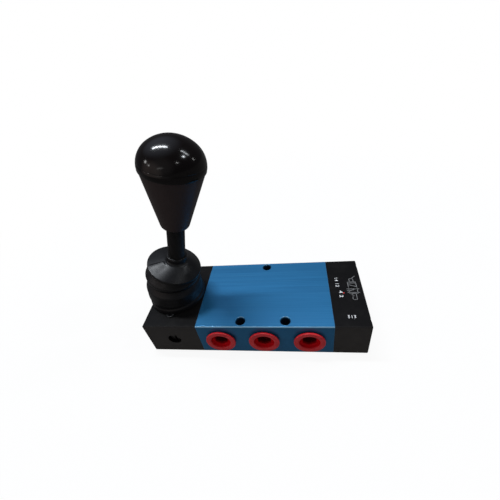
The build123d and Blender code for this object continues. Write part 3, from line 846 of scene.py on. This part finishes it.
def add_floor():
    """White to the camera with the object's shadow kept, and dimmer in reflections and bounced light."""
    mesh = bmesh.new()
    corners = [(-1, -1), (1, -1), (1, 1), (-1, 1)]
    height = cad_low.z - FLOOR_GAP
    mesh.faces.new([mesh.verts.new((x * FLOOR_SIZE, y * FLOOR_SIZE, height)) for x, y in corners])
    data = bpy.data.meshes.new("floor")
    mesh.to_mesh(data)
    mesh.free()
    floor = bpy.data.objects.new("floor", data)
    bpy.context.scene.collection.objects.link(floor)
    material = bpy.data.materials.new("floor")
    material.use_nodes = True
    nodes, links = material.node_tree.nodes, material.node_tree.links
    nodes.clear()
    path = nodes.new("ShaderNodeLightPath").outputs
    mirrored = math_node(nodes, links, "MAXIMUM", path["Is Glossy Ray"], path["Is Transmission Ray"])
    place = nodes.new("ShaderNodeTexCoord").outputs["Object"]
    reach = nodes.new("ShaderNodeVectorMath")
    reach.operation = "LENGTH"
    links.new(place, reach.inputs[0])
    fade = nodes.new("ShaderNodeMapRange")
    fade.interpolation_type = "SMOOTHSTEP"
    fade.inputs["From Min"].default_value = SHADOW_REACH[0]
    fade.inputs["From Max"].default_value = SHADOW_REACH[1]
    fade.inputs["To Min"].default_value = 1 - SHADOW_SHARE
    fade.inputs["To Max"].default_value = 1.0
    links.new(reach.outputs["Value"], fade.inputs["Value"])
    seen = math_node(nodes, links, "MULTIPLY", path["Is Camera Ray"], fade.outputs["Result"])
    paint = nodes.new("ShaderNodeMix")
    paint.data_type = "RGBA"
    paint.inputs[6].default_value = (FLOOR_GREY, FLOOR_GREY, FLOOR_GREY, 1)
    paint.inputs[7].default_value = (1, 1, 1, 1)
    links.new(path["Is Camera Ray"], paint.inputs["Factor"])
    matt = nodes.new("ShaderNodeBsdfDiffuse")
    links.new(paint.outputs[2], matt.inputs["Color"])
    glow = nodes.new("ShaderNodeEmission")
    strength = math_node(nodes, links, "MAXIMUM", path["Is Camera Ray"], FLOOR_MIRRORED)
    links.new(strength, glow.inputs["Strength"])
    mix = nodes.new("ShaderNodeMixShader")
    links.new(math_node(nodes, links, "MAXIMUM", seen, mirrored), mix.inputs["Fac"])
    links.new(matt.outputs[0], mix.inputs[1])
    links.new(glow.outputs[0], mix.inputs[2])
    out = nodes.new("ShaderNodeOutputMaterial")
    links.new(mix.outputs[0], out.inputs["Surface"])
    floor.data.materials.append(material)
    floor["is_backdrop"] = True


# Soft light from parts of the room: direction, cosines where it starts and is full, and colour.
ROOM_GLOWS = [
    ((-0.25, 0.25, 0.93), 0.70, 0.995, (0.36, 0.41, 0.50)),
    ((-0.15, -0.85, 0.50), 0.72, 0.99, (0.16, 0.156, 0.15)),
    ((-0.72, -0.66, 0.14), 0.74, 0.99, (0.42, 0.34, 0.31)),
]
ROOM_AMBIENT = (0.066, 0.067, 0.072)


def add_world():
    """A dim room with soft glows for light and reflections, white where the camera sees past the floor."""
    world = bpy.data.worlds.new("studio")
    bpy.context.scene.world = world
    world.use_nodes = True
    nodes, links = world.node_tree.nodes, world.node_tree.links
    direction = nodes.new("ShaderNodeTexCoord").outputs["Generated"]
    room = None
    for toward, start, full, colour in ROOM_GLOWS:
        dot = nodes.new("ShaderNodeVectorMath")
        dot.operation = "DOT_PRODUCT"
        dot.inputs[1].default_value = Vector(toward).normalized()
        links.new(direction, dot.inputs[0])
        fall = nodes.new("ShaderNodeMapRange")
        fall.interpolation_type = "SMOOTHSTEP"
        fall.inputs["From Min"].default_value = start
        fall.inputs["From Max"].default_value = full
        links.new(dot.outputs["Value"], fall.inputs["Value"])
        add = nodes.new("ShaderNodeMix")
        add.data_type = "RGBA"
        add.blend_type = "ADD"
        add.clamp_result = False
        add.inputs[7].default_value = (*colour, 1)
        if room:
            links.new(room, add.inputs[6])
        else:
            add.inputs[6].default_value = (*ROOM_AMBIENT, 1)
        links.new(fall.outputs["Result"], add.inputs["Factor"])
        room = add.outputs[2]
    mix = nodes.new("ShaderNodeMix")
    mix.data_type = "RGBA"
    mix.inputs[7].default_value = (1, 1, 1, 1)
    links.new(room, mix.inputs[6])
    links.new(nodes.new("ShaderNodeLightPath").outputs["Is Camera Ray"], mix.inputs["Factor"])
    links.new(mix.outputs[2], nodes["Background"].inputs["Color"])


LAMP_TARGET = Vector((-0.025, -0.005, 0.100))  # close to the knob, whose dome mirrors the lamps
LAMP_DISTANCE = 1.0


def add_lamp(name, start, end, width, radiance, tint=(1, 1, 1)):
    """A soft light whose long middle line runs between two directions seen from the knob."""
    first = Vector(start).normalized() * LAMP_DISTANCE
    last = Vector(end).normalized() * LAMP_DISTANCE
    length = (last - first).length
    light = bpy.data.lights.new(name, "AREA")
    light.shape = "RECTANGLE"
    light.size = length
    light.size_y = width
    light.energy = radiance * pi * length * width
    light.color = tint
    lamp = bpy.data.objects.new(name, light)
    bpy.context.scene.collection.objects.link(lamp)
    back = ((first + last) / 2).normalized()
    side = (last - first).normalized()
    up = back.cross(side)
    turn = Matrix((side, up, back)).transposed().to_4x4()
    lamp.matrix_world = Matrix.Translation(LAMP_TARGET + (first + last) / 2) @ turn


def spot_ends(direction, half):
    """The two ends of a short light around one direction."""
    side = Vector(direction).cross((0, 0, 1)).normalized() * half
    return Vector(direction) - side, Vector(direction) + side


COOL = (0.90, 0.95, 1.0)

add_floor()
add_world()
add_lamp("tube_left", (-0.490, 0.178, 0.850), (0.045, 0.178, 0.983), 0.042, 92, COOL)
add_lamp("tube_right", (0.530, 0.240, 0.815), (0.765, 0.265, 0.590), 0.035, 34, COOL)
add_lamp("spot_right_high", *spot_ends((0.721, 0.003, 0.693), 0.035), 0.07, 85, COOL)
add_lamp("spot_right_low", (0.885, 0.290, 0.365), (0.915, 0.295, 0.260), 0.06, 9)
add_lamp("spot_front", *spot_ends((0.610, -0.519, 0.599), 0.025), 0.05, 30)
add_lamp("spot_left", *spot_ends((-0.844, -0.235, 0.483), 0.05), 0.11, 12)
add_lamp("spot_left_low", *spot_ends((-0.750, -0.491, 0.443), 0.04), 0.08, 8)
add_lamp("window_front", (-0.390, -0.830, 0.395), (-0.100, -0.895, 0.435), 0.05, 2.6)

CAMERA_TARGET = Vector((-0.00426, -0.00050, 0.05741))
CAMERA_DISTANCE = 0.14914
CAMERA_AZIMUTH = radians(12.59)
CAMERA_ELEVATION = radians(38.30)
CAMERA_ROLL = radians(-10.47)
CAMERA_LENS = 20.11


def add_camera():
    """The camera at the photograph's viewing angle, from its fit to the photograph's edges."""
    data = bpy.data.cameras.new("camera")
    data.lens = CAMERA_LENS
    data.sensor_width = 36.0
    data.clip_start = 0.01
    camera = bpy.data.objects.new("camera", data)
    bpy.context.scene.collection.objects.link(camera)
    az, el = CAMERA_AZIMUTH, CAMERA_ELEVATION
    forward = Vector((-sin(az) * cos(el), cos(az) * cos(el), -sin(el)))
    level = Vector((cos(az), sin(az), 0))
    up = level.cross(forward)
    right = level * cos(CAMERA_ROLL) + up * sin(CAMERA_ROLL)
    top = right.cross(forward)
    place = Matrix((right, top, -forward)).transposed().to_4x4()
    camera.matrix_world = Matrix.Translation(CAMERA_TARGET - forward * CAMERA_DISTANCE) @ place
    bpy.context.scene.camera = camera


add_camera()
bpy.context.scene.view_settings.view_transform = "Standard"

low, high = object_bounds()
